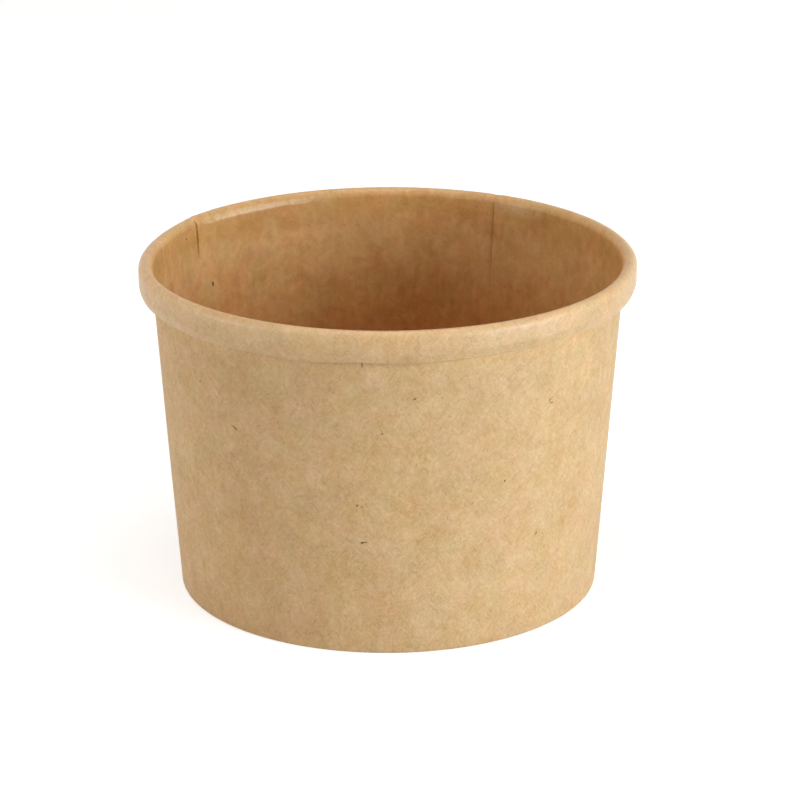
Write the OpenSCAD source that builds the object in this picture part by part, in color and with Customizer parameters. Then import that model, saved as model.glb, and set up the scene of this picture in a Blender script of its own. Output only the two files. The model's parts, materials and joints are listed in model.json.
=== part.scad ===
// Paper soup cup. One sheet of board forms the sidewall, with its top edge rolled into the rim
// and its foot folded up inside. A second sheet, the base disc, has its edge bent down into that
// fold. +Z is up, and the origin is the centre of the base, on the table.

/* [Cup] */
// Diameter over the rolled rim
rim_d = 90; // [84:0.5:110]
// Outside diameter of the sidewall, carried down to the table
base_d = 76.5; // [60:0.5:80]
// Height from the table to the top of the rim
cup_h = 61.7; // [40:0.1:150]

/* [Board] */
// Thickness of the sidewall board
board_t = 0.42; // [0.3:0.01:0.5]
// Thickness of the base disc board
disc_t = 0.36; // [0.25:0.01:0.45]

/* [Rolled rim] */
// Width of the roll across its crown, from the inside of the cup to the outside
rim_w = 2.6; // [2.2:0.05:3.2]
// Height of the roll, from its lowest point to the crown
rim_h = 5.6; // [4.8:0.1:7]
// Height of the upright band round the roll, which a lid grips
rim_band_h = 2.3; // [1.2:0.1:3]
// Turn of the easy bend under the band, in degrees
rim_ease = 35; // [20:1:50]
// Turn of the whole underside of the roll, up to the sheet's tucked edge, in degrees
rim_tuck = 205; // [185:1:220]
// Gap between the tucked side of the roll and the sidewall
rim_gap = 0.1; // [0.05:0.01:0.3]

/* [Foot] */
// Height of the floor's upper face above the table
floor_z = 7; // [5:0.1:14]
// Gap between the hem's edge, where the sheet's foot ends inside, and the floor's lower face
hem_gap = 1.04; // [0.3:0.01:3]
// Inside radius of the fold at the foot
fold_in_r = 0.1; // [0.02:0.01:0.16]
// Radius of the middle of the disc's board where its edge bends down
disc_bend_r = 0.6; // [0.3:0.05:1.5]
// Height of the disc's turned-down edge above the inside of the fold
disc_lift = 0.35; // [0.2:0.05:1]
// Thickness of the glue line on each face of the disc's turned-down edge
glue_t = 0.04; // [0.02:0.01:0.1]

/* [Side seam] */
// Direction of the seam's inner edge, in degrees from +X towards +Y
seam_dir = 61.2; // [0:0.1:360]
// Width of the strip where the sheet laps over itself
lap_w = 8; // [4:0.5:14]
// Width of the joint that shows inside, in front of the inner edge
joint_w = 0.9; // [0.5:0.1:2]
// Height of wall left whole above the joint, under the rim
joint_top = 0.8; // [0.4:0.1:4]
// Width of the outer layer beyond the joint
lap_tail_w = 2; // [1:0.5:6]

/* [Hidden] */
$fn = 120;
arc_step = 12;

// The sidewall's outer face is tangent to the underside of the crown, which sets its lean.
foot_r = base_d / 2;
crown_c = [rim_d / 2 - rim_w / 2, cup_h - rim_w / 2];
crown_r = (rim_w - board_t) / 2;
crown_under_r = crown_r - board_t / 2;
lean = atan2(crown_c.x - foot_r, crown_c.y)
    - asin(crown_under_r / norm(crown_c - [foot_r, 0]));

// The fold at the foot, its two bends and the hem.
fold_r = fold_in_r + board_t / 2;
fold_z = fold_r + board_t / 2;
hem_in = board_t + glue_t + disc_t + glue_t + board_t / 2;
fold_outer_c = [face_r(board_t / 2 + fold_r, fold_z), fold_z];
fold_inner_c = [face_r(hem_in - fold_r, fold_z), fold_z];
hem_z = floor_z - disc_t - hem_gap;
hem_end = [face_r(hem_in, hem_z), hem_z];

// The underside of the roll is an easy bend and then a tight one. Their radii bring the roll to
// its height and to its gap from the sidewall.
band_r = rim_d / 2 - board_t / 2;
band_z = crown_c.y - rim_band_h;
under_h = band_z - (cup_h - rim_h) - board_t / 2;
bend_step = (under_h * (1 + cos(lean)) + board_t / 2 + rim_gap
        + band_z * sin(lean) - (band_r - foot_r) * cos(lean))
    / (sin(rim_ease) * (1 + cos(lean) + sin(lean)) - (1 - cos(rim_ease)) * cos(lean));
tight_r = under_h - bend_step * sin(rim_ease);
easy_r = tight_r + bend_step;
easy_c = [band_r - easy_r, band_z];
tight_c = easy_c + bend_step * [cos(rim_ease), -sin(rim_ease)];

// The base disc's turned-down edge stands in the middle of the fold.
skirt_in = board_t + glue_t + disc_t / 2;
disc_z = floor_z - disc_t / 2;
disc_bend_c = [face_r(skirt_in + disc_bend_r, disc_z - disc_bend_r), disc_z - disc_bend_r];
skirt_z = board_t + disc_lift;
skirt_end = [face_r(skirt_in, skirt_z), skirt_z];

// The side seam, as angles at the cup's middle radius.
middle_r = (rim_d + base_d) / 4;
lap_turn = arc_turn(lap_w);
joint_turn = arc_turn(joint_w);
tail_turn = arc_turn(lap_tail_w);
lap_top_z = cup_h - rim_h - rim_gap;

// Radius, at height z, of the surface that lies a depth inside the sidewall's outer face
function face_r(depth, z) = foot_r + z * tan(lean) - depth / cos(lean);

// Angle that a width covers on the cup's middle radius
function arc_turn(width) = width / middle_r * 180 / PI;

// Points on an arc about c from angle a to angle b, one about every arc_step degrees
function arc(c, r, a, b) =
    let (n = ceil(abs(b - a) / arc_step))
    [for (i = [0 : n]) c + r * [cos(a + (b - a) * i / n), sin(a + (b - a) * i / n)]];

// The end of a sheet that hangs parallel to the sidewall, s to the outer side of its middle
function hanging_end(p, s) = [p + s * [cos(lean), -sin(lean)]];

function reverse(points) = [for (i = [len(points) - 1 : -1 : 0]) points[i]];

// One face of the sidewall sheet, s from its middle, from the hem's edge over the fold, up the
// sidewall, over the crown and round the roll to the tucked edge
function sheet_face(s) = concat(
    hanging_end(hem_end, s),
    arc(fold_inner_c, fold_r - s, 180 - lean, 270),
    arc(fold_outer_c, fold_r - s, 270, 360 - lean),
    arc(crown_c, crown_r + s, 180 - lean, 0),
    arc(easy_c, easy_r + s, 0, -rim_ease),
    arc(tight_c, tight_r + s, -rim_ease, -rim_tuck));

// One face of the base disc's board, s above its middle, from the axis to the skirt's end
function disc_face(s) = concat(
    [[0, disc_z + s]],
    arc(disc_bend_c, disc_bend_r + s, 90, -lean),
    hanging_end(skirt_end, s));

// A section of board between its two faces
module board_section(left, right) {
    polygon(concat(left, reverse(right)));
}

// A band of the sidewall between two depths and two heights, over part of a turn
module wall_band(depth_out, depth_in, z_low, z_high, from, turn) {
    rotate([0, 0, from])
        rotate_extrude(angle = turn)
            polygon([
                [face_r(depth_in, z_low), z_low],
                [face_r(depth_out, z_low), z_low],
                [face_r(depth_out, z_high), z_high],
                [face_r(depth_in, z_high), z_high]
            ]);
}

// The sheet's outer layer, which laps over its inner edge from outside
module outer_lap() {
    wall_band(-board_t, board_t / 2, fold_z, lap_top_z,
        seam_dir - lap_turn, lap_turn + joint_turn + tail_turn);
}

// The joint in front of the inner edge, open to the inside of the cup
module inner_joint() {
    wall_band(0, 2 * board_t, floor_z, lap_top_z - joint_top, seam_dir, joint_turn);
}

module sidewall() {
    color([0.79, 0.66, 0.48])
        difference() {
            union() {
                rotate_extrude()
                    board_section(sheet_face(board_t / 2), sheet_face(-board_t / 2));
                outer_lap();
            }
            inner_joint();
        }
}

module base_disc() {
    color([0.62, 0.46, 0.29])
        rotate_extrude()
            board_section(disc_face(disc_t / 2), disc_face(-disc_t / 2));
}

sidewall();
base_disc();
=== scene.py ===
"""Kraft paper soup cup: the finished look of the cup, its stage, its light and its camera."""

import json
import math

import bpy
import numpy as np
from mathutils import Matrix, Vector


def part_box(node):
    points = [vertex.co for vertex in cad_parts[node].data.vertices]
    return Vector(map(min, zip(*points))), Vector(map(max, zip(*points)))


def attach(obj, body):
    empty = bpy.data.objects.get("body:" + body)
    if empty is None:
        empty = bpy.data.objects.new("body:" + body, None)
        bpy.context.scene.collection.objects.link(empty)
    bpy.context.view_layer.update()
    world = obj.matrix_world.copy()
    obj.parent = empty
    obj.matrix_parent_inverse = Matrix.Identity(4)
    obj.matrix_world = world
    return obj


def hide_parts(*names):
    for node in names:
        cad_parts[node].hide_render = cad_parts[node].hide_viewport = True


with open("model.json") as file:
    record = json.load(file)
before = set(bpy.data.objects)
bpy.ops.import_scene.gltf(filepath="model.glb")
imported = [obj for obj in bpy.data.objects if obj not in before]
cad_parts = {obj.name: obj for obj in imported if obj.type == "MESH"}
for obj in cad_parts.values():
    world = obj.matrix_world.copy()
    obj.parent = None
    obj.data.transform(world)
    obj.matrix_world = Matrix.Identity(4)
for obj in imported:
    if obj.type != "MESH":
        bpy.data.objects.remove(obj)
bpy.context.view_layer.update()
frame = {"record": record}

bl_info = {
    "name": "Kraft Soup Cup",
    "version": (1, 0, 0),
    "blender": (4, 5, 0),
    "location": "View3D > Sidebar > Soup Cup",
    "description": "Builds a kraft paper soup cup from its two sheets of board, with a plain stage",
    "category": "Add Mesh",
}

MM = 0.001
TURN = 2 * math.pi

# Sizes that the frame already holds, in metres.
RIM_BAND = next(m for m in frame["record"]["mounts"] if m["name"] == "rim_band")
BAND_H = RIM_BAND["dims"]["length_mm"] * MM
BAND_TOP = RIM_BAND["pos_m"][2] + BAND_H / 2
RIM_R = RIM_BAND["dims"]["r_mm"] * MM
CUP_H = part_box("sidewall")[1].z
FLOOR_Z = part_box("base_disc")[1].z

# Where the spacing of the sidewall's columns changes: two heights, and a turn round the roll.
WAIST_Z = 40 * MM
NECK_Z = CUP_H - 5.2 * MM
LIP_TURN = math.radians(105)

# Rows round the sidewall sheet, and corners round the base disc.
SHEET_ROWS = 456
DISC_CORNERS = 240

# Brings the greatest value of a(1 - a)^2, which the dent beside the crease follows, to 1.
DENT_GAIN = 6.75

# Where the squared corner of the roll starts, as an angle round the tight bend's centre.
LIP_CORNER = math.radians(-16)

# Shares of its thickness that the lap's inner layer keeps: low on the wall, on the roll and high
# on the wall. The wall's share changes between the two heights.
KEPT_LOW, KEPT_ROLL, KEPT_HIGH = 0.16, 0.36, 0.92
KEPT_Z = (36 * MM, 56 * MM)

# Faces that meet at more than this angle show a sharp edge.
SHARP_ANGLE = math.radians(48)

# Reflection of the board itself, and roughness of the coat on the rolled face.
BOARD_SPECULAR = 0.2
COAT_ROUGHNESS = 0.46

# Amounts of each pulp pattern on the coated face, as (on the wall, on the roll).
COATED_AMOUNTS = {
    "Clouds": (0.95, 0.76), "Mottle": (0.3, 0.65), "Flocks": (1.0, 0.5),
    "Fibres": (0.07, 0.23), "Streaks": (0.5, 0.35), "Drift": (0.75, 0.6),
}


def length(name, default, text):
    """A property that holds a size in metres."""
    return bpy.props.FloatProperty(
        name=name, description=text, default=default, precision=5, subtype="DISTANCE",
        unit="LENGTH",
    )


def angle(name, degrees, text):
    """A property that holds an angle, with its default in degrees."""
    return bpy.props.FloatProperty(
        name=name, description=text, default=math.radians(degrees), subtype="ANGLE",
        unit="ROTATION",
    )


def colour(name, rgb, text):
    """A property that holds a linear colour."""
    return bpy.props.FloatVectorProperty(
        name=name, description=text, default=rgb, size=3, min=0, max=1, subtype="COLOR"
    )


def share(name, default, text, most=1.0):
    """A property that holds a plain factor."""
    return bpy.props.FloatProperty(name=name, description=text, default=default, min=0, max=most)


class CupBoardSettings(bpy.types.PropertyGroup):
    """Sizes of the two sheets of board."""

    foot_r: length("Foot radius", 38.25 * MM, "Outer radius of the sidewall, carried to the table")
    board_t: length("Board thickness", 0.42 * MM, "Thickness of the sidewall's board")
    disc_t: length("Disc thickness", 0.36 * MM, "Thickness of the base disc's board")
    glue_t: length("Glue line", 0.04 * MM, "Gap on each face of the disc's turned-down edge")
    rim_h: length("Rim height", 5.6 * MM, "Height of the roll, lip to crown")
    rim_gap: length("Rim gap", 0.1 * MM, "Gap between the tucked side of the roll and the sidewall")
    rim_ease: angle("Rim ease", 35, "Turn of the easy bend under the upright band")
    rim_tuck: angle("Rim tuck", 205, "Turn of the whole underside of the roll")
    fold_in_r: length("Fold radius", 0.1 * MM, "Inside radius of the fold at the foot")
    hem_gap: length("Hem gap", 1.04 * MM, "Gap between the hem's edge and the floor above it")
    disc_bend_r: length("Disc bend", 0.6 * MM, "Radius of the disc's bend, at the board's middle")
    disc_lift: length("Disc lift", 0.35 * MM, "Height of the disc's lower edge above the fold")
    disc_bow: length("Disc bow", 0.25 * MM, "How far the middle of the floor sinks")
    seam_dir: angle("Seam direction", 28.7, "Direction of the seam's inner edge, from +Y to +X")
    lap_w: length("Lap width", 8 * MM, "Width of the strip where the sheet laps over itself")
    lap_ramp_w: length("Lap ramp", 1.2 * MM, "Width over which the outer layer climbs out")
    press_w: length("Pressed edge", 0.22 * MM, "Width of the slope pressed into the inner cut edge")


class CupWearSettings(bpy.types.PropertyGroup):
    """Handling marks: the crease behind on the left, and the uneven rim."""

    crease_dir: angle("Crease direction", -57, "Direction of the crease on the wall, from +Y to +X")
    crease_skew: angle("Crease skew", 2.4, "How far the crease turns towards +X across the crown")
    crease_h: length("Crease height", 7.3 * MM, "How far the sharp line runs down from the rim")
    crease_w: length("Crease width", 0.34 * MM, "Half width of the sharp line")
    crease_d: length("Crease depth", 0.88 * MM, "How far the sharp line stands out of the wall")
    tent_d: length("Tent depth", 0.4 * MM, "How far the board buckles in below the sharp line")
    dent_span: angle("Dent span", 50, "Stretch of rim that is pushed flat beside the crease")
    dent_d: length("Dent depth", 0.6 * MM, "How far that stretch is pushed in")
    crown_flat: share("Crown flattening", 0.3, "How far the crown's inner side is pressed flat")
    band_bow: length("Band bow", 0.4 * MM, "How far the roll's upright band leans in at its top")
    lip_square: share("Lip squareness", 1.0, "How square the roll's lower outer corner is")
    lip_drop: share("Lip drop", 1.0, "How unevenly the roll's lower edge runs", most=2)
    ripple: length("Ripple", 0.045 * MM, "Small waves in the roll and the wall")


class CupFinishSettings(bpy.types.PropertyGroup):
    """Colours of the kraft board, with painted shade inside the cup and a painted highlight by the
    rim.
    """

    board_light: colour("Light pulp", (0.774, 0.553, 0.305), "Lighter tone of the board")
    board_dark: colour("Dark pulp", (0.538, 0.311, 0.125), "Darker tone of the board")
    inside_tint: colour("Inside tint", (0.95, 0.815, 0.63), "Tint of the coated face lower down")
    # Painted shade: a darker band on the coated face just under the rim.
    upper_shade_tint: colour("Upper shade tint", (0.86, 0.71, 0.47), "Tint of the coated face near the rim")
    # Painted shade: the coated face darker and more saturated down at the cup's floor.
    deep_shade_tint: colour("Deep shade tint", (0.89, 0.6, 0.27), "Tint of the coated face at the floor")
    roll_tint: colour("Roll tint", (0.95, 0.925, 0.865), "Tint of the coated face outside the roll")
    edge_tint: colour("Cut edge tint", (0.9, 0.83, 0.72), "Tint of the board's cut edges")
    speck_tone: colour("Speck", (0.1, 0.05, 0.018), "Tone of the dark specks in the pulp")
    # Paler tone for worn coat; the same patches paint a highlight along the crown's inner ledge.
    rubbed_and_highlight_tone: colour("Rubbed board and highlight", (0.8, 0.62, 0.42), "Tone where the coat is rubbed")
    specks: share("Specks", 0.88, "How strongly the specks show")


class CupStageSettings(bpy.types.PropertyGroup):
    """Camera, light and floor."""

    distance: length("Camera distance", 658.3 * MM, "Distance from the camera to the cup's middle")
    elevation: angle("Elevation", 19.77, "Height of the camera above the horizon")
    roll: angle("Roll", 0.25, "Roll of the camera")
    lens_px: share("Lens", 3592, "Focal length in pixels of the frame", most=20000)
    aim_z: length("Aim height", 31 * MM, "Height of the point that the camera is set from")
    aim_px: bpy.props.FloatVectorProperty(
        name="Aim in the frame", description="Where that point lands, in pixels from the top left",
        default=(387.8, 414.6), size=2
    )
    key_dir: angle("Key direction", 58, "Direction of the key light, from the camera to the right")
    key_rise: angle("Key rise", 8, "Height of the key light above the horizon")
    key_power: share("Key power", 16.2, "Power of the key light in watts", most=1000)
    key_tint: colour("Key tint", (0.885, 0.945, 1.0), "Slightly cool tint of the key light")
    fill_dir: angle("Fill direction", -70, "Direction of the fill light, counted the same way")
    fill_rise: angle("Fill rise", 8, "Height of the fill light above the horizon")
    fill_power: share("Fill power", 7.1, "Power of the fill light in watts", most=1000)
    fill_tint: colour("Fill tint", (1.0, 0.96, 0.915), "Slightly warm tint of the other lights")
    top_rise: angle("Top light rise", 85, "Height of the top light above the horizon in front")
    top_power: share("Top light power", 6.8, "Power of the top light in watts", most=1000)
    sky: share("Sky", 0.054, "Strength of the even light all round", most=10)


def smooth(x, low, high):
    """0 below low, 1 above high, and the cubic 3t^2 - 2t^3 between them."""
    t = np.clip((x - low) / (high - low), 0, 1)
    return t * t * (3 - 2 * t)


def wrapped(a):
    """The angle a brought to between minus half a turn and half a turn."""
    return (a + math.pi) % TURN - math.pi


def bend(centre, radius, start, stop, rows):
    """Points and left normals on an arc of a sheet's middle: centre + radius (cos a, sin a).

    The angle a runs from start to stop. The left normal points at the centre where the arc turns
    left, and away from it where the arc turns right.
    """
    a = np.linspace(start, stop, rows)
    out = np.stack([np.cos(a), np.sin(a)], axis=1)
    return centre + radius * out, out if stop < start else -out


def straight(before, after, rows):
    """Points and left normals between two arcs, evenly spaced, without the arcs' own ends."""
    t = np.linspace(0, 1, rows + 2)[1:-1, None]
    return before[0][-1] * (1 - t) + after[0][0] * t, np.repeat(after[1][:1], rows, axis=0)


def chained(*stretches):
    """One run of points and normals from several, and the length along it at each point."""
    points = np.concatenate([s[0] for s in stretches])
    normals = np.concatenate([s[1] for s in stretches])
    steps = np.linalg.norm(np.diff(points, axis=0), axis=1)
    return points, normals, np.concatenate([[0], np.cumsum(steps)])


class Section:
    """The cup's section, worked out from its settings as (radius, height) in metres.

    The sidewall leans so that its outer face is tangent to the underside of the crown. The roll's
    underside is an easy bend and a tight one, whose radii bring it to its height and its gap.
    """

    def __init__(self, cup):
        self.cup = cup
        t = cup.board_t
        crown_top_r = CUP_H - BAND_TOP
        self.crown_c = np.array([RIM_R - crown_top_r, BAND_TOP])
        self.crown_r = crown_top_r - t / 2
        reach = self.crown_c - [cup.foot_r, 0]
        self.mean_r = (RIM_R + cup.foot_r) / 2
        self.lean = math.atan2(*reach) - math.asin((self.crown_r - t / 2) / np.linalg.norm(reach))
        self.cos, self.sin = math.cos(self.lean), math.sin(self.lean)
        ease = cup.rim_ease
        band_r = RIM_R - t / 2
        band_z = BAND_TOP - BAND_H
        under_h = band_z - (CUP_H - cup.rim_h) - t / 2
        step = (
            under_h * (1 + self.cos) + t / 2 + cup.rim_gap
            + band_z * self.sin - (band_r - cup.foot_r) * self.cos
        ) / (math.sin(ease) * (1 + self.cos + self.sin) - (1 - math.cos(ease)) * self.cos)
        self.tight_r = under_h - step * math.sin(ease)
        self.easy_r = self.tight_r + step
        self.easy_c = np.array([band_r - self.easy_r, band_z])
        self.tight_c = self.easy_c + step * np.array([math.cos(ease), -math.sin(ease)])
        self.fold_r = cup.fold_in_r + t / 2
        self.hem_depth = t + 2 * cup.glue_t + cup.disc_t + t / 2
        self.skirt_depth = t + cup.glue_t + cup.disc_t / 2

    def face_r(self, depth, z):
        """Radius, at height z, of the surface a depth inside the sidewall's outer face."""
        return self.cup.foot_r + z * math.tan(self.lean) - depth / self.cos

    def hanging(self, depth, z):
        """A single point of a sheet that hangs parallel to the sidewall, its normal outwards."""
        return np.array([[self.face_r(depth, z), z]]), np.array([[self.cos, -self.sin]])

    def sheet(self):
        """The sidewall sheet: hem, fold, wall, crown, band and roll, from edge to edge."""
        cup, lean = self.cup, self.lean
        fold_z = self.fold_r + cup.board_t / 2
        fold_in = np.array([self.face_r(self.hem_depth - self.fold_r, fold_z), fold_z])
        fold_out = np.array([self.face_r(cup.board_t / 2 + self.fold_r, fold_z), fold_z])
        hem = self.hanging(self.hem_depth, FLOOR_Z - cup.disc_t - cup.hem_gap)
        heel = bend(fold_in, self.fold_r, math.pi - lean, 1.5 * math.pi, 6)
        toe = bend(fold_out, self.fold_r, 1.5 * math.pi, 2 * math.pi - lean, 6)
        crown = bend(self.crown_c, self.crown_r, math.pi - lean, 0, 13)
        half = cup.board_t / 2
        waist, neck = (
            (np.array([[self.face_r(half, z), z]]), crown[1][:1]) for z in (WAIST_Z, NECK_Z)
        )
        easy = bend(self.easy_c, self.easy_r, 0, -cup.rim_ease, 6)
        tight = bend(self.tight_c, self.tight_r, -cup.rim_ease, -LIP_TURN, 12)
        tuck = bend(self.tight_c, self.tight_r, -LIP_TURN, -cup.rim_tuck, 7)
        return chained(
            hem, straight(hem, heel, 3), heel, toe, straight(toe, waist, 11), waist,
            straight(waist, neck, 24), neck, straight(neck, crown, 13), crown,
            straight(crown, easy, 3), easy,
            (tight[0][1:], tight[1][1:]), (tuck[0][1:], tuck[1][1:]),
        )

    def disc(self):
        """The base disc, from the axis out over its bend and down to the skirt's edge."""
        cup = self.cup
        bend_z = FLOOR_Z - cup.disc_t / 2 - cup.disc_bend_r
        centre = np.array([self.face_r(self.skirt_depth + cup.disc_bend_r, bend_z), bend_z])
        middle = np.array([[0, FLOOR_Z - cup.disc_t / 2]]), np.array([[0, 1]])
        edge = bend(centre, cup.disc_bend_r, math.pi / 2, -self.lean, 8)
        skirt = self.hanging(self.skirt_depth, cup.board_t + cup.disc_lift)
        return chained(middle, straight(middle, edge, 40), edge, straight(edge, skirt, 4), skirt)


def spaced(span, columns, places, base=1.0):
    """Angles from 0 to span whose spacing is finer near the places (angle, width, weight).

    The density of columns is base plus a bell curve at each place; its running sum is inverted.
    """
    fine = np.linspace(0, span, 20001)
    density = np.full_like(fine, base)
    for at, width, weight in places:
        density += weight * np.exp(-(((fine - at) / width) ** 2))
    total = np.concatenate([[0], np.cumsum((density[1:] + density[:-1]) / 2)])
    return np.interp(np.linspace(0, total[-1], columns), total, fine)


# The finer lines that the crease parts into: how far each runs to the side, over what drop it gets
# there, and its share of the crease's depth.
CREASE_LEGS = ((-3.6 * MM, 4.5 * MM, 0.3), (2.0 * MM, 3 * MM, 0.42))


def crease_warp(wear, across, height):
    """How far the crease moves the board outwards, at a distance across it and a height.

    A sharp line stands out, as a triangle wave across it. At its lower end it parts into two
    finer lines, which run aside as 1 - exp(-drop / reach), and the board between them buckles in
    as a tent that fades downwards.
    """
    end = CUP_H - wear.crease_h
    fade = smooth(height, end - 0.6 * MM, end + 3 * MM)
    width = wear.crease_w * (0.5 + 0.5 * fade)
    line = np.clip(1 - np.abs(across) / width, 0, 1)
    line = line * smooth(height, end - 0.8 * MM, end + 0.4 * MM) * (0.65 + 0.35 * fade)
    line = line * (1 - 0.8 * smooth(height, CUP_H - 1.1 * MM, CUP_H - 0.3 * MM))
    drop = np.clip(end + 0.4 * MM - height, 0, None)
    left, right = (aside * (1 - np.exp(-drop / reach)) for aside, reach, _ in CREASE_LEGS)
    legs = 0
    for leg, (_, _, part) in zip((left, right), CREASE_LEGS):
        legs = legs + part * np.clip(1 - np.abs(across - leg) / (0.7 * wear.crease_w), 0, 1)
    legs = legs * np.clip(drop / (0.8 * MM), 0, 1) * np.exp(-drop / (3.2 * MM))
    half = (right - left) / 2 + 0.01 * MM
    tent = np.clip(1 - np.abs(across - (left + right) / 2) / half, 0, 1)
    depth = np.clip(drop / (3 * MM), 0, 1) * np.exp(-drop / (7 * MM))
    return wear.crease_d * (line + legs) - wear.tent_d * smooth(tent, 0, 1) * depth


# How far the roll's lower edge hangs below its even run, in millimetres, by azimuth in degrees.
LIP_RUN = (
    (-30, -0.01), (0, -0.23), (25, 0.17), (45, -0.08), (70, -0.33), (92, -0.03), (112, -0.25),
    (134, -0.45), (143.5, -0.27), (151.5, -0.32), (159, -0.27), (166, -0.12), (173, 0.06),
    (179.5, 0.01), (186, -0.15), (193, 0.08), (200, 0.31), (207, 0.03), (215, 0.08), (224, 0.09),
    (240, -0.08), (262, 0.15), (285, -0.18), (310, 0.07),
)


def along_run(run, azimuth):
    """The value of a run of (angle in degrees, value) at an azimuth, eased between its entries."""
    at, value = np.radians([a for a, _ in run]), np.array([v for _, v in run])
    at, value = np.append(at, at[0] + TURN), np.append(value, value[0])
    azimuth = (azimuth - at[0]) % TURN + at[0]
    before = np.clip(np.searchsorted(at, azimuth, side="right") - 1, 0, len(at) - 2)
    step = smooth((azimuth - at[before]) / (at[before + 1] - at[before]), 0, 1)
    return value[before] + (value[before + 1] - value[before]) * step


def wear_shift(wear, section, azimuth, radius, height, under):
    """How far wear moves the board at a place on its middle: outwards and up.

    azimuth is from +Y towards +X, and under is 1 on the underside of the roll and 0 elsewhere.
    Left of the crease the board is pushed in by a(1 - a)^2, where a goes from 0 to 1 over the
    dent. The crown's inner side is pressed to a straight slope, which hangs lower right of the
    crease. The band leans in by the square of its share of the height, in front and behind. The
    ripples are a sum of a cosine and two sines round the cup.
    """
    crown_r = section.crown_c[0]
    over_crown = smooth(radius, crown_r - section.crown_r, RIM_R)
    over_crown = over_crown * smooth(height, CUP_H - 4 * MM, CUP_H - 1 * MM)
    side = wrapped(azimuth - wear.crease_dir - wear.crease_skew * over_crown)
    across = side * radius
    upper = smooth(height, 20 * MM, CUP_H - 4 * MM)
    rim = smooth(height, CUP_H - 9 * MM, CUP_H - 5 * MM)
    along = np.clip(-side / wear.dent_span, 0, 1)
    out = -DENT_GAIN * wear.dent_d * along * (1 - along) ** 2 * upper
    out = out + crease_warp(wear, across, height)
    past = np.clip(across, 0, None)
    beside = smooth(past, 0, 0.5 * MM) * (1 - smooth(past, 7 * MM, 30 * MM))
    hang = smooth(past, 0.5 * MM, 5 * MM)
    drop = 1.2 * MM + 0.7 * MM * beside * hang
    drop = drop + 0.12 * MM * np.sin(23 * azimuth) * (1 - beside)
    foot_z = CUP_H - drop
    wall_r = section.face_r(section.cup.board_t / 2, foot_z)
    flat_r = wall_r + (height - foot_z) / (drop - section.cup.board_t / 2) * (crown_r - wall_r)
    inner = (height > foot_z) & (radius < crown_r)
    flat = np.clip(wear.crown_flat + 0.7 * beside, 0, 1)
    out = out + np.where(inner, flat * np.clip(flat_r - radius, 0, 1 * MM), 0)
    rise = np.clip((height - BAND_TOP + BAND_H) / (CUP_H - BAND_TOP + BAND_H), 0, 1)
    bow = wear.band_bow * (1 + np.cos(2 * azimuth)) / 2
    out = out - bow * rise ** 2 * np.clip((radius - crown_r) / section.crown_r, 0, 1)
    ripple = -np.cos(2 * azimuth) + 0.4 * np.sin(7 * azimuth + 3.1) + 0.3 * np.sin(13 * azimuth)
    strength = (0.6 * upper + 0.4 * rim) * smooth(height, 2 * MM, 12 * MM)
    out = out + wear.ripple * (ripple - 0.6) * strength
    return out, -wear.lip_drop * MM * along_run(LIP_RUN, azimuth) * under


def around(azimuth, radius, height):
    """Points at an azimuth from +Y towards +X, a radius from the axis and a height."""
    return np.stack(
        np.broadcast_arrays(radius * np.sin(azimuth), radius * np.cos(azimuth), height), axis=-1
    )


def quads(rows, columns, start, flip=False):
    """Corner numbers of a grid's faces, counted columns first from start."""
    first = start + np.arange(rows - 1)[:, None] * columns + np.arange(columns - 1)
    corners = np.stack([first, first + columns, first + columns + 1, first + 1], axis=-1)
    corners = corners.reshape(-1, 4)
    return corners[:, ::-1] if flip else corners


def strip(one, other):
    """Corner numbers of the faces between two runs of points."""
    return np.stack([one[:-1], other[:-1], other[1:], one[1:]], axis=-1)


def mesh_piece(name, points, faces, finishes, maps, materials):
    """An object at the origin from points, four-cornered faces, a finish and a map place for each.

    A corner number that repeats in a face makes it a triangle.
    """
    loops = [list(dict.fromkeys(face)) for face in faces.tolist()]
    mesh = bpy.data.meshes.new(name)
    mesh.from_pydata(points.tolist(), [], loops)
    mesh.polygons.foreach_set("material_index", finishes.astype(np.int32))
    mesh.polygons.foreach_set("use_smooth", np.ones(len(loops), bool))
    corner_vertex = np.empty(len(mesh.loops), np.int32)
    mesh.loops.foreach_get("vertex_index", corner_vertex)
    layer = mesh.uv_layers.new(name="board")
    layer.uv.foreach_set("vector", maps[corner_vertex].astype(np.float32).ravel())
    for material in materials:
        mesh.materials.append(material)
    mesh.update()
    mesh.validate()
    mesh.set_sharp_from_angle(angle=SHARP_ANGLE)
    piece = bpy.data.objects.new(name, mesh)
    bpy.context.scene.collection.objects.link(piece)
    return piece


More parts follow.
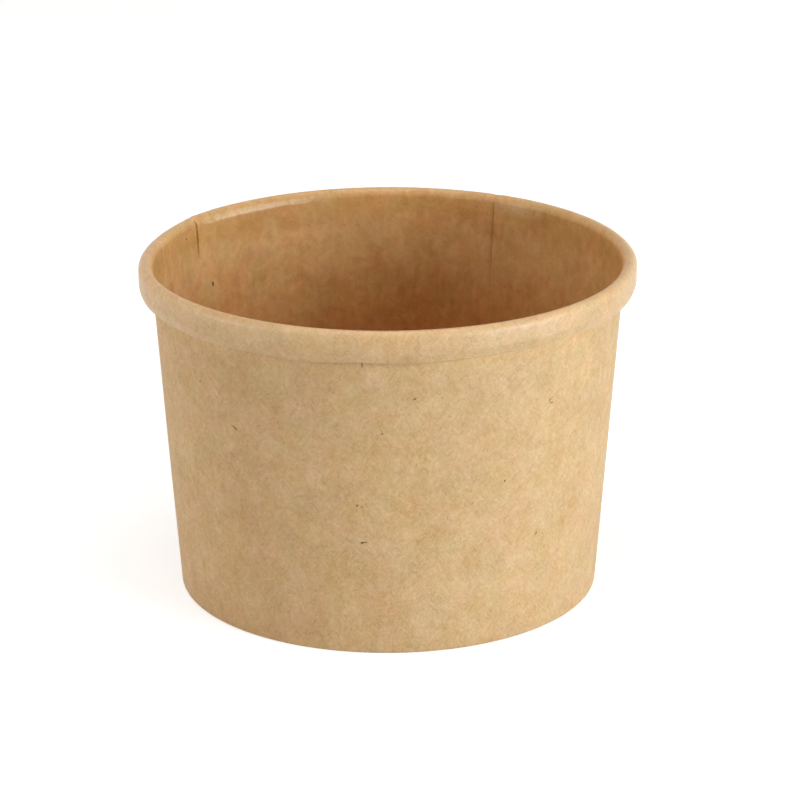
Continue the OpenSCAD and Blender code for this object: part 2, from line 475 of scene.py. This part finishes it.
def sidewall_faces(cup, wear, section):
    """The sidewall sheet's two faces as grids of points, and the grid's places on the flat sheet.

    Rows run round the sheet from its inner edge to its outer one, and columns along its section.
    In the lap each layer is squeezed a little, and the outer layer lies on the inner one, whose
    cut edge is pressed to a slope. The roll's lower outer corner is squared: a point's distance
    from the tight bend's centre is divided by the sixth root of cos^6 + sin^6 of its angle. What
    would stand proud of the rim's own radius is taken off both faces alike.
    """
    middle, normals, along = section.sheet()
    mean_r = section.mean_r
    lap = cup.lap_w / mean_r
    ramp = cup.lap_ramp_w / mean_r
    span = TURN + lap
    crease = wrapped(wear.crease_dir - cup.seam_dir) % TURN
    turn = spaced(span, SHEET_ROWS, [
        (0, math.radians(0.35), 60), (span, math.radians(0.35), 30),
        (crease, math.radians(0.9), 55), (crease, math.radians(5), 5),
        (TURN - ramp / 2, math.radians(1.3), 22),
    ])
    turn[1] = cup.press_w / mean_r
    turn = turn[:, None]
    z = middle[:, 1]
    on_wall = 1 - smooth(z, CUP_H - 5 * MM, CUP_H - 2 * MM)
    kept_in = KEPT_LOW + (KEPT_ROLL - KEPT_LOW) * (1 - on_wall)
    kept_in = kept_in + (KEPT_HIGH - KEPT_LOW) * on_wall * smooth(z, *KEPT_Z)
    kept_out = 0.5 + 0.42 * on_wall * smooth(z, 1 * MM, 8 * MM)
    over = np.clip((turn - TURN + ramp) / (0.95 * ramp), 0, 1) ** 2
    beneath = 1 - smooth(turn, lap, lap + 2 * ramp)
    lifted = over * (kept_in * cup.board_t + 0.02 * MM)
    thick = cup.board_t * (1 - over * (1 - kept_out)) * (1 - beneath * (1 - kept_in))
    left = cup.board_t / 2 - lifted
    slope_w = cup.press_w / mean_r * (1 + 5 * (1 - on_wall))
    pressed = np.clip(1 - turn / slope_w, 0, 1) * (0.5 - 0.05 * on_wall) * kept_in * cup.board_t
    left, thick = left - pressed, thick - pressed
    under_from = section.easy_c[1] + 0.3 * MM
    outside_roll = middle[:, 0] > section.face_r(-0.35 * MM, z)
    under = np.where(outside_roll, 1 - smooth(z, under_from - 1.2 * MM, under_from), 0)
    azimuth = cup.seam_dir + turn
    out, up = wear_shift(wear, section, azimuth, middle[:, 0], z, under)
    grids = []
    for off in (left, left - thick):
        radius = middle[:, 0] + off * normals[:, 0]
        height = middle[:, 1] + off * normals[:, 1]
        from_tight = radius - section.tight_c[0], height - section.tight_c[1]
        corner = LIP_CORNER - np.arctan2(from_tight[1], from_tight[0])
        corner = np.where((corner > 0) & (corner < math.pi / 2), corner, 0)
        pinch = wear.lip_square * ((np.cos(corner) ** 6 + np.sin(corner) ** 6) ** (-1 / 6) - 1)
        pinch = pinch * outside_roll * (np.hypot(*from_tight) < 1.8 * section.tight_r)
        radius, height = radius + pinch * from_tight[0] + out, height + pinch * from_tight[1] + up
        if not grids:
            proud = np.clip(radius - RIM_R, 0, None)
        grids.append(around(azimuth, radius - proud, height))
    places = np.stack(np.broadcast_arrays(turn * mean_r, along), axis=-1)
    return grids[0], grids[1], places


def closed_sheet(inside, outside, places):
    """Points, faces, finish numbers and map places of a sheet closed along its four edges.

    Finish 0 is the outside face, 1 the inside face and 2 the cut edges, with the slope pressed
    into the inner edge as the first row of the inside face.
    """
    rows, columns = inside.shape[:2]
    count = rows * columns
    points = np.concatenate([inside.reshape(-1, 3), outside.reshape(-1, 3)])
    maps = np.concatenate([places.reshape(-1, 2)] * 2)
    grid = np.arange(count).reshape(rows, columns)
    runs = [grid[0, :], grid[-1, ::-1], grid[::-1, 0], grid[:, -1]]
    edges = np.concatenate([strip(run + count, run) for run in runs])
    faces = np.concatenate([quads(rows, columns, 0), quads(rows, columns, count, True), edges])
    per_side = (rows - 1) * (columns - 1)
    finishes = np.repeat([1, 0, 2], [per_side, per_side, len(edges)])
    finishes[:columns - 1] = 2
    return points, faces, finishes, maps


def new_node(tree, kind, inputs=None, **settings):
    """A shader node of a kind, with its settings, and its inputs set to values or linked."""
    made = tree.nodes.new("ShaderNode" + kind)
    for key, value in settings.items():
        setattr(made, key, value)
    for key, value in (inputs or {}).items():
        if isinstance(value, bpy.types.NodeSocket):
            tree.links.new(value, made.inputs[key])
        else:
            made.inputs[key].default_value = value
    return made


def maths(tree, operation, *values, clamp=False):
    """The result of a Math node on values or sockets."""
    inputs = dict(enumerate(values))
    return new_node(tree, "Math", inputs, operation=operation, use_clamp=clamp).outputs[0]


def vector_maths(tree, operation, *vectors):
    """The outputs of a Vector Math node on vectors or sockets."""
    inputs = dict(enumerate(vectors))
    return new_node(tree, "VectorMath", inputs, operation=operation).outputs


def stretched(tree, vector, scale, place=(0, 0, 0)):
    """A vector scaled along its axes and moved, for a pattern that runs one way."""
    inputs = {"Vector": vector, "Scale": scale, "Location": place}
    return new_node(tree, "Mapping", inputs).outputs[0]


def noise(tree, vector, scale, detail=2.0, roughness=0.5, distortion=0.0):
    """The value of a noise whose cells are about 1 / scale metres wide."""
    inputs = {
        "Vector": vector, "Scale": scale, "Detail": detail, "Roughness": roughness,
        "Distortion": distortion,
    }
    return new_node(tree, "TexNoise", inputs).outputs["Fac"]


def ramped(tree, value, low, high, to_low=0.0, to_high=1.0):
    """A value spread from between low and high to between two others, and held beyond them."""
    inputs = {
        "Value": value, "From Min": low, "From Max": high, "To Min": to_low, "To Max": to_high,
    }
    return new_node(tree, "MapRange", inputs).outputs[0]


def mixed(tree, factor, *colours, blend="MIX"):
    """Two colours mixed by a factor; each is a socket or (red, green, blue)."""
    first, second = (c if isinstance(c, bpy.types.NodeSocket) else (*c, 1) for c in colours)
    inputs = {0: factor, 6: first, 7: second}
    return new_node(tree, "Mix", inputs, data_type="RGBA", blend_type=blend).outputs[2]


def new_group(name, inputs, outputs):
    """A shader node group with its input and output nodes.

    An input is given with its default, or with None for a vector, and an output with its kind.
    """
    tree = bpy.data.node_groups.new(name, "ShaderNodeTree")
    for label, default in inputs.items():
        kind = "NodeSocketVector" if default is None else "NodeSocketFloat"
        socket = tree.interface.new_socket(label, in_out="INPUT", socket_type=kind)
        if default is not None:
            socket.default_value = default
    for label, kind in outputs.items():
        tree.interface.new_socket(label, in_out="OUTPUT", socket_type="NodeSocket" + kind)
    return tree, tree.nodes.new("NodeGroupInput"), tree.nodes.new("NodeGroupOutput")


def pulp_group():
    """Kraft pulp: clouds, mottle, streaks and short fibres, as a tone, a hue shift and a relief.

    Place is the object's own space and Sheet the flat sheet, both in metres. Clouds are about
    7 mm wide, flocks 2 mm, mottle 1 mm, and fibres 1 to 2 mm long. Warmth runs from olive to pink
    and Yellow from grey to yellow.
    """
    tree, given, result = new_group(
        "Kraft pulp",
        {"Place": None, "Sheet": None, "Clouds": 0.76, "Mottle": 0.6, "Flocks": 0.52,
         "Fibres": 0.23, "Streaks": 0.2, "Drift": 0.5},
        {"Tone": "Float", "Hue": "Color", "Relief": "Float"},
    )
    place, sheet = given.outputs["Place"], given.outputs["Sheet"]
    clouds = noise(tree, place, 140, 3, 0.6)
    mottle = noise(tree, place, 1100, 2, 0.7, 0.8)
    flocks = noise(tree, place, 420, 2, 0.55, 0.6)
    hues = []
    for seed, cool, warm in (
        (3, (0.94, 1.032, 1), (1.06, 0.968, 1)), (9, (1, 1, 1.12), (1, 1, 0.88)),
    ):
        drift = noise(tree, stretched(tree, place, (1, 1, 1), (seed, 5, 7)), 190, 2, 0.6)
        hues.append(mixed(tree, ramped(tree, drift, 0.3, 0.7), cool, warm))
    layers = []
    for turn, lengthwise, seed in (
        (0.25, 650, 3.1), (1.35, 800, 8.7), (-0.7, 560, 14.2), (2.2, 720, 21.5), (0.9, 600, 33.3),
    ):
        turned = new_node(tree, "Mapping", {
            "Vector": sheet, "Rotation": (0, 0, turn), "Location": (seed, seed, seed),
        }).outputs[0]
        thin = noise(tree, stretched(tree, turned, (lengthwise, 3400, 1)), 1, 1, 0.5, 0.9)
        layers.append(ramped(tree, thin, 0.57, 0.68))
    light = maths(tree, "MAXIMUM", maths(tree, "MAXIMUM", layers[0], layers[1]), layers[2])
    dark = maths(tree, "MAXIMUM", layers[3], layers[4])
    streaks = noise(tree, stretched(tree, sheet, (700, 110, 1)), 1, 3, 0.6)
    tone = 0.5
    for part, weight in (
        (clouds, "Clouds"), (mottle, "Mottle"), (flocks, "Flocks"), (streaks, "Streaks"),
    ):
        centred = maths(tree, "SUBTRACT", part, 0.5)
        tone = maths(tree, "MULTIPLY_ADD", centred, given.outputs[weight], tone)
    both = maths(tree, "SUBTRACT", light, dark)
    tone = maths(tree, "MULTIPLY_ADD", both, given.outputs["Fibres"], tone, clamp=True)
    relief = maths(tree, "MULTIPLY_ADD", both, 0.3, maths(tree, "MULTIPLY", mottle, 0.8))
    tree.links.new(tone, result.inputs["Tone"])
    both_hues = mixed(tree, 1.0, *hues, blend="MULTIPLY")
    hue = mixed(tree, given.outputs["Drift"], (1, 1, 1), both_hues)
    tree.links.new(hue, result.inputs["Hue"])
    tree.links.new(relief, result.inputs["Relief"])
    return tree


def speck_group():
    """One speck on the sheet: a soft, uneven ellipse at a place, turned by an angle."""
    tree, given, result = new_group(
        "Pulp speck", {"Sheet": None, "Centre": None, "Turn": None, "Size": None},
        {"Mask": "Float"},
    )
    wobble = noise(tree, given.outputs["Sheet"], 3000, 2)
    moved = vector_maths(tree, "SUBTRACT", given.outputs["Sheet"], given.outputs["Centre"])[0]
    turned = new_node(tree, "VectorRotate", {
        "Vector": moved, "Rotation": given.outputs["Turn"]}, rotation_type="EULER_XYZ").outputs[0]
    scaled = vector_maths(tree, "DIVIDE", turned, given.outputs["Size"])[0]
    far = vector_maths(tree, "LENGTH", scaled)["Value"]
    far = maths(tree, "MULTIPLY_ADD", maths(tree, "SUBTRACT", wobble, 0.5), 1.1, far)
    mask = ramped(tree, far, 0.6, 1.0, 1.0, 0.0)
    tree.links.new(mask, result.inputs["Mask"])
    return tree


def scatter_group():
    """Fine dark specks at random: stretched cells, of which few hold a speck."""
    tree, given, result = new_group(
        "Scattered specks", {"Sheet": None, "Fewness": 0.9}, {"Mask": "Float"}
    )
    masks = []
    for turn, seed in ((0.4, 2.0), (1.9, 7.0)):
        turned = new_node(tree, "Mapping", {
            "Vector": given.outputs["Sheet"], "Rotation": (0, 0, turn), "Location": (seed, seed, 0),
        }).outputs[0]
        cells = new_node(tree, "TexVoronoi", {
            "Vector": stretched(tree, turned, (420, 900, 1)), "Scale": 1.0,
        }, voronoi_dimensions="2D")
        picked = new_node(tree, "SeparateColor", {"Color": cells.outputs["Color"]})
        kept = maths(tree, "GREATER_THAN", picked.outputs[0], given.outputs["Fewness"])
        near = ramped(tree, cells.outputs["Distance"], 0.05, 0.16, 1, 0)
        masks.append(maths(tree, "MULTIPLY", near, kept))
    tree.links.new(maths(tree, "MAXIMUM", *masks), result.inputs["Mask"])
    return tree


def rubbed_and_highlight_group():
    """A paler patch of the sheet, part worn coat and part painted highlight: a box with soft,
    uneven borders, broken up by fine noise.
    """
    tree, given, result = new_group(
        "Rubbed and highlight patch", {"Sheet": None, "Centre": None, "Size": None, "Soft": 0.3},
        {"Mask": "Float"},
    )
    wobble = noise(tree, given.outputs["Sheet"], 600, 3, 0.6)
    moved = vector_maths(tree, "SUBTRACT", given.outputs["Sheet"], given.outputs["Centre"])[0]
    scaled = vector_maths(tree, "DIVIDE", moved, given.outputs["Size"])[0]
    parts = new_node(tree, "SeparateXYZ", {0: scaled}).outputs
    rough_edge = maths(tree, "MULTIPLY", maths(tree, "SUBTRACT", wobble, 0.5), 1.2)
    inner = maths(tree, "SUBTRACT", 1.0, given.outputs["Soft"])
    sides = []
    for part in parts[:2]:
        aside = maths(tree, "ADD", maths(tree, "ABSOLUTE", part), rough_edge)
        sides.append(ramped(tree, aside, inner, 1.0, 1.0, 0.0))
    broken = ramped(tree, noise(tree, given.outputs["Sheet"], 1500, 2, 0.6), 0.35, 0.6, 0.6, 1.0)
    tree.links.new(maths(tree, "MULTIPLY", maths(tree, "MULTIPLY", *sides), broken),
                   result.inputs["Mask"])
    return tree


def board_material(name, finish, tint=(1, 1, 1), specks=(), deep=None, amounts=None,
                   rough=0.55, coat=0.0, relief=0.05 * MM, rubbed_and_highlit=()):
    """Kraft board: pulp tones, scattered specks and the larger specks at their own places.

    deep is four places up the sheet: the tint is the finish's deep tint at the first, the given
    tint at the second, the finish's upper tint at the third and its roll tint at the fourth, and
    each change starts 3 mm above the place before it. The deep and upper tints are painted shade:
    the coated face is darker towards the cup's floor and in a band just under the rim. The coat's
    gloss comes in over 3 mm and is full 1 mm below the fourth. An amount that is a pair changes
    between the last two. The last argument holds paler patches, part worn coat and part painted
    highlight along the crown's inner ledge, as (centre, half size, share of softness, strength).
    """
    groups = groups_of_nodes()
    material = bpy.data.materials.new(name)
    material.use_nodes = True
    tree = material.node_tree
    shader = tree.nodes["Principled BSDF"]
    place = new_node(tree, "TexCoord").outputs["Object"]
    sheet = new_node(tree, "UVMap", uv_map="board").outputs[0]
    height = new_node(tree, "SeparateXYZ", {0: sheet}).outputs[1]
    amounts = {
        key: ramped(tree, height, deep[2], deep[3], *value) if isinstance(value, tuple) else value
        for key, value in (amounts or {}).items()
    }
    pulp = new_node(tree, "Group", {"Place": place, "Sheet": sheet, **amounts},
                    node_tree=groups["pulp"])
    tone = mixed(tree, pulp.outputs["Tone"], finish.board_dark, finish.board_light)
    tone = mixed(tree, 1.0, tone, pulp.outputs["Hue"], blend="MULTIPLY")
    if deep:
        # Up the sheet the tint passes painted shade at the floor and in a band under the rim.
        tinted = finish.deep_shade_tint
        tints = tint, finish.upper_shade_tint, finish.roll_tint
        for below, above, next_tint in zip(deep, deep[1:], tints):
            step = ramped(tree, height, below + 3 * MM, above)
            tinted = mixed(tree, step, tinted, next_tint)
    else:
        tinted = tint
    tone = mixed(tree, 1.0, tone, tinted, blend="MULTIPLY")
    # Paler patches: part worn coat, part painted highlight along the crown's inner ledge.
    for centre, size, soft, strength in rubbed_and_highlit:
        patch = new_node(tree, "Group", {
            "Sheet": sheet, "Centre": (*centre, 0), "Size": (*size, 1), "Soft": soft,
        }, node_tree=groups["rubbed_and_highlit"])
        rub_and_highlight = maths(tree, "MULTIPLY", patch.outputs["Mask"], strength)
        tone = mixed(tree, rub_and_highlight, tone, finish.rubbed_and_highlight_tone)
    scatter = new_node(tree, "Group", {"Sheet": sheet, "Fewness": 0.965},
                       node_tree=groups["scatter"])
    mask = maths(tree, "MULTIPLY", scatter.outputs["Mask"], 0.3)
    for centre, size, turn in specks:
        one = new_node(tree, "Group", {
            "Sheet": sheet, "Centre": (*centre, 0), "Turn": (0, 0, turn), "Size": (*size, 1),
        }, node_tree=groups["speck"])
        mask = maths(tree, "MAXIMUM", mask, one.outputs["Mask"])
    tone = mixed(tree, maths(tree, "MULTIPLY", mask, finish.specks), tone, finish.speck_tone)
    tree.links.new(tone, shader.inputs["Base Color"])
    rough_map = ramped(tree, pulp.outputs["Relief"], 0.2, 0.7, rough + 0.06, rough - 0.06)
    tree.links.new(rough_map, shader.inputs["Roughness"])
    bump = new_node(tree, "Bump", {"Height": pulp.outputs["Relief"], "Distance": relief})
    tree.links.new(bump.outputs[0], shader.inputs["Normal"])
    shader.inputs["Specular IOR Level"].default_value = BOARD_SPECULAR
    if deep:
        gloss = ramped(tree, height, deep[3] - 4 * MM, deep[3] - 1 * MM, 0.0, coat)
        tree.links.new(gloss, shader.inputs["Coat Weight"])
    shader.inputs["Coat Roughness"].default_value = COAT_ROUGHNESS
    return material


def groups_of_nodes():
    """The node groups that the board's materials share, made once."""
    made = {
        "pulp": ("Kraft pulp", pulp_group), "speck": ("Pulp speck", speck_group),
        "scatter": ("Scattered specks", scatter_group), "rubbed_and_highlit": ("Rubbed and highlight patch", rubbed_and_highlight_group),
    }
    return {key: bpy.data.node_groups.get(name) or make() for key, (name, make) in made.items()}


def edge_material(finish):
    """The board's cut edge: rougher pulp in its own tint, with no coat."""
    return board_material("Board cut edge", finish, finish.edge_tint, rough=0.85)


class SOUPCUP_OT_sidewall(bpy.types.Operator):
    """Build the sidewall: one sheet, rolled at the rim, lapped at the seam, folded at the foot"""

    bl_idname = "soup_cup.sidewall"
    bl_label = "Sidewall"

    # Azimuth from +Y in degrees, height, half length and half width in mm, and turn in degrees.
    OUTSIDE_SPECKS = (
        (173.6, 48.8, 0.36, 0.18, 30), (137.3, 44.6, 0.5, 0.13, 84), (136.7, 44.0, 0.42, 0.15, 4),
        (150.0, 31.3, 0.35, 0.16, 100), (171.6, 55.4, 0.27, 0.12, 0), (181.4, 42.4, 0.3, 0.14, 60),
        (220.2, 40.0, 0.75, 0.18, 150), (231.8, 46.7, 0.35, 0.17, 20), (185.9, 55.2, 0.6, 0.13, 90),
        (187.6, 28.7, 0.26, 0.2, 60), (186.5, 28.5, 0.45, 0.1, 176), (186.6, 21.6, 0.32, 0.26, 0),
        (186.0, 21.7, 0.5, 0.14, 178), (139.0, 19.5, 0.42, 0.15, 80),
    )
    INSIDE_SPECKS = ((-62.6, 58.8, 0.33, 0.24, 0), (-52.3, 48.2, 0.62, 0.34, 80))

    def execute(self, context):
        """Makes the sheet's mesh and its three finishes."""
        scene = context.scene
        cup, wear, finish = scene.cup_board, scene.cup_wear, scene.cup_finish
        section = Section(cup)
        inside, outside, places = sidewall_faces(cup, wear, section)
        middle, _, along = section.sheet()
        crown = float(along[np.argmax(middle[:, 1])])
        wall = (middle[:, 1] > 2 * MM) & (along < crown)
        crease_at = wrapped(wear.crease_dir - cup.seam_dir) % TURN * section.mean_r
        ledge = float(np.interp(CUP_H - 1.9 * MM, middle[wall, 1], along[wall]))
        # Paler patches on the crown's inner ledge right of the crease and beside the seam: part
        # worn coat, part painted highlight.
        rubbed_and_highlit = (
            ((crease_at + 15.5 * MM, ledge + 0.5 * MM), (16 * MM, 0.6 * MM), 0.6, 0.42),
            ((crease_at + 14 * MM, ledge + 0.2 * MM), (15 * MM, 0.3 * MM), 0.6, 0.4),
            ((5 * MM, crown - 2.4 * MM), (7 * MM, 1.7 * MM), 0.95, 0.42),
        )

        def on_sheet(specks):
            """The specks' places, sizes and turns on the flat sheet, in metres and radians."""
            for azimuth, height, half_length, half_width, turn in specks:
                round_sheet = (math.radians(azimuth) - cup.seam_dir) % TURN * section.mean_r
                up_sheet = float(np.interp(height * MM, middle[wall, 1], along[wall]))
                size = (half_length * MM, half_width * MM)
                yield (round_sheet, up_sheet), size, math.radians(turn)

        materials = [
            board_material("Kraft board outside", finish, specks=on_sheet(self.OUTSIDE_SPECKS)),
            board_material("Kraft board inside", finish, finish.inside_tint,
                           on_sheet(self.INSIDE_SPECKS),
                           # Places of the tints up the sheet; the first and third bring in painted
                           # shade.
                           (crown - 53 * MM, crown - 11 * MM, crown - 4.5 * MM, crown + 1 * MM),
                           COATED_AMOUNTS, rough=0.6, coat=1.0, rubbed_and_highlit=rubbed_and_highlit),
            edge_material(finish),
        ]
        points, faces, finishes, maps = closed_sheet(inside, outside, places)
        piece = mesh_piece("sidewall_sheet", points, faces, finishes, maps, materials)
        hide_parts("sidewall")
        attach(piece, "root")
        return {"FINISHED"}


class SOUPCUP_OT_base_disc(bpy.types.Operator):
    """Build the base disc: a round sheet whose edge is bent down inside the foot"""

    bl_idname = "soup_cup.base_disc"
    bl_label = "Base disc"

    def execute(self, context):
        """Makes the disc as a turned sheet, closed at its middle and at its lower edge."""
        scene = context.scene
        cup, finish = scene.cup_board, scene.cup_finish
        middle, normals, _ = Section(cup).disc()
        azimuth = np.linspace(0, TURN, DISC_CORNERS + 1)[:-1, None]
        grids, counts = [], middle.shape[0] - 1
        for off in (cup.disc_t / 2, -cup.disc_t / 2):
            radius = middle[:, 0] + off * normals[:, 0]
            height = middle[:, 1] + off * normals[:, 1]
            flat = 1 - (radius / radius.max()) ** 2
            height = height - cup.disc_bow * np.where(normals[:, 1] > 0.99, flat, 0)
            grids.append(around(azimuth, radius, height))
        columns = len(azimuth)
        poles = np.stack([grids[0][0, 0], grids[1][0, 0]])
        rings = [grid[:, 1:].transpose(1, 0, 2).reshape(-1, 3) for grid in grids]
        points = np.concatenate([poles, *rings])
        ring = np.arange(columns + 1) % columns
        faces, finishes = [], []
        for side, start in enumerate((2, 2 + counts * columns)):
            rows = start + np.arange(counts)[:, None] * columns + ring
            pole = np.full(columns, side)
            cap = np.stack([pole, rows[0, :-1], rows[0, 1:], rows[0, 1:]], axis=-1)
            body = np.stack([rows[:-1, :-1], rows[1:, :-1], rows[1:, 1:], rows[:-1, 1:]], axis=-1)
            sheet = np.concatenate([cap, body.reshape(-1, 4)])
            faces.append(sheet if side else sheet[:, ::-1])
            finishes.append(np.full(len(sheet), 1 - side))
        edge = strip(2 + (2 * counts - 1) * columns + ring, 2 + (counts - 1) * columns + ring)
        faces.append(edge)
        finishes.append(np.full(len(edge), 2))
        materials = [
            board_material("Floor board underside", finish),
            # The floor's inside takes the deep tint, which is painted shade at the bottom of the
            # cup.
            board_material("Floor board inside", finish, finish.deep_shade_tint, rough=0.5),
            edge_material(finish),
        ]
        maps = points[:, :2]
        piece = mesh_piece("floor_disc", points, np.concatenate(faces), np.concatenate(finishes),
                           maps, materials)
        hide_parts("base_disc")
        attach(piece, "root")
        return {"FINISHED"}


def turned(vector, axis, by):
    """A vector turned round a unit axis by an angle (Rodrigues' formula)."""
    along = axis * (axis @ vector) * (1 - math.cos(by))
    return vector * math.cos(by) + np.cross(axis, vector) * math.sin(by) + along


def seen_directly(tree):
    """1 for camera, glossy and transmission rays, and 0 for the rays that light the scene."""
    path = new_node(tree, "LightPath")
    seen = maths(tree, "MAXIMUM", path.outputs["Is Camera Ray"], path.outputs["Is Glossy Ray"])
    return maths(tree, "MAXIMUM", seen, path.outputs["Is Transmission Ray"])


class SOUPCUP_OT_stage(bpy.types.Operator):
    """Build the stage: a white floor, an even sky, three soft lights and the camera"""

    bl_idname = "soup_cup.stage"
    bl_label = "Stage"

    FRAME_PX = 800
    FLOOR_SIZE = 12.0
    LAMP_SIZE = 0.7
    LAMP_AWAY = 1.1
    FLOOR_TONE = (0.6, 0.6, 0.6, 1)
    FLOOR_GLOW = 0.67

    def camera(self, stage):
        """Sets a camera by its distance, elevation and lens, and turns it so that its aim fits."""
        e = stage.elevation
        aim = np.array([0, 0, stage.aim_z])
        forward = np.array([0, math.cos(e), -math.sin(e)])
        right = np.array([1.0, 0, 0])
        up = np.cross(right, forward)
        place = aim - stage.distance * forward
        yaw = math.atan2(stage.aim_px[0] - self.FRAME_PX / 2, stage.lens_px)
        pitch = math.atan2(self.FRAME_PX / 2 - stage.aim_px[1], stage.lens_px)
        forward, right = turned(forward, up, yaw), turned(right, up, yaw)
        forward, up = turned(forward, right, -pitch), turned(up, right, -pitch)
        right, up = turned(right, forward, stage.roll), turned(up, forward, stage.roll)
        data = bpy.data.cameras.new("camera")
        data.lens = data.sensor_width * stage.lens_px / self.FRAME_PX
        data.clip_start, data.clip_end = 0.01, 50
        camera = bpy.data.objects.new("camera", data)
        matrix = np.eye(4)
        matrix[:3, :] = np.stack([right, up, -forward, place], axis=1)
        camera.matrix_world = Matrix(matrix)
        bpy.context.scene.collection.objects.link(camera)
        bpy.context.scene.camera = camera

    def lamp(self, name, direction, rise, power, tint):
        """A square soft light that faces the cup; its direction is from the camera to the right."""
        data = bpy.data.lights.new(name, "AREA")
        data.energy, data.color, data.size = power, tint, self.LAMP_SIZE
        level = math.cos(rise)
        way = np.array([math.sin(direction) * level, -math.cos(direction) * level, math.sin(rise)])
        side = np.cross([0, 0, 1], way)
        side = side / np.linalg.norm(side)
        matrix = np.eye(4)
        matrix[:3, :] = np.stack(
            [side, np.cross(way, side), way, way * self.LAMP_AWAY + [0, 0, CUP_H / 2]], axis=1
        )
        lamp = bpy.data.objects.new(name, data)
        lamp.matrix_world = Matrix(matrix)
        bpy.context.scene.collection.objects.link(lamp)

    def floor(self):
        """A large white floor that looks white to the camera and keeps the cup's soft shadow."""
        half = self.FLOOR_SIZE / 2
        mesh = bpy.data.meshes.new("stage_floor")
        corners = [(-half, -half, 0), (half, -half, 0), (half, half, 0), (-half, half, 0)]
        mesh.from_pydata(corners, [], [(0, 1, 2, 3)])
        material = bpy.data.materials.new("White floor")
        material.use_nodes = True
        tree = material.node_tree
        shader = tree.nodes["Principled BSDF"]
        shader.inputs["Base Color"].default_value = self.FLOOR_TONE
        shader.inputs["Roughness"].default_value = 0.9
        shader.inputs["Specular IOR Level"].default_value = 0.1
        shader.inputs["Emission Color"].default_value = (1, 1, 1, 1)
        glow = maths(tree, "MULTIPLY", seen_directly(tree), self.FLOOR_GLOW)
        tree.links.new(glow, shader.inputs["Emission Strength"])
        mesh.materials.append(material)
        floor = bpy.data.objects.new("stage_floor", mesh)
        bpy.context.scene.collection.objects.link(floor)

    def sky(self, stage):
        """An even, slightly warm light all round, seen as plain white."""
        world = bpy.data.worlds.new("Studio")
        world.use_nodes = True
        tree = world.node_tree
        seen = seen_directly(tree)
        back = tree.nodes["Background"]
        tree.links.new(mixed(tree, seen, stage.fill_tint, (1, 1, 1)), back.inputs["Color"])
        tree.links.new(ramped(tree, seen, 0, 1, stage.sky, 1), back.inputs["Strength"])
        bpy.context.scene.world = world

    def execute(self, context):
        """Makes the camera first, then the light and the floor."""
        stage = context.scene.cup_stage
        self.camera(stage)
        self.lamp("key_light", stage.key_dir, stage.key_rise, stage.key_power, stage.key_tint)
        self.lamp("fill_light", stage.fill_dir, stage.fill_rise, stage.fill_power, stage.fill_tint)
        self.lamp("top_light", 0, stage.top_rise, stage.top_power, stage.fill_tint)
        self.floor()
        self.sky(stage)
        context.scene.view_settings.view_transform = "Standard"
        return {"FINISHED"}


OPERATORS = (SOUPCUP_OT_stage, SOUPCUP_OT_sidewall, SOUPCUP_OT_base_disc)
SETTINGS = {
    "cup_board": CupBoardSettings, "cup_wear": CupWearSettings,
    "cup_finish": CupFinishSettings, "cup_stage": CupStageSettings,
}


class SOUPCUP_PT_panel(bpy.types.Panel):
    """Lists the cup's operators and settings"""

    bl_idname = "SOUPCUP_PT_panel"
    bl_label = "Soup Cup"
    bl_space_type = "VIEW_3D"
    bl_region_type = "UI"
    bl_category = "Soup Cup"

    def draw(self, context):
        """One button for each operator, then each group of settings."""
        for operator in OPERATORS:
            self.layout.operator(operator.bl_idname)
        for name, group in SETTINGS.items():
            box = self.layout.box()
            for key in group.__annotations__:
                box.prop(getattr(context.scene, name), key)


def register():
    """Registers the settings, the operators and the panel."""
    for name, group in SETTINGS.items():
        bpy.utils.register_class(group)
        setattr(bpy.types.Scene, name, bpy.props.PointerProperty(type=group))
    for item in (*OPERATORS, SOUPCUP_PT_panel):
        bpy.utils.register_class(item)


def unregister():
    """Removes what register added."""
    for item in (SOUPCUP_PT_panel, *reversed(OPERATORS)):
        bpy.utils.unregister_class(item)
    for name, group in reversed(SETTINGS.items()):
        delattr(bpy.types.Scene, name)
        bpy.utils.unregister_class(group)


def main():
    register()
    bpy.ops.soup_cup.stage()
    bpy.ops.soup_cup.sidewall()
    bpy.ops.soup_cup.base_disc()


if __name__ == "__main__":
    main()
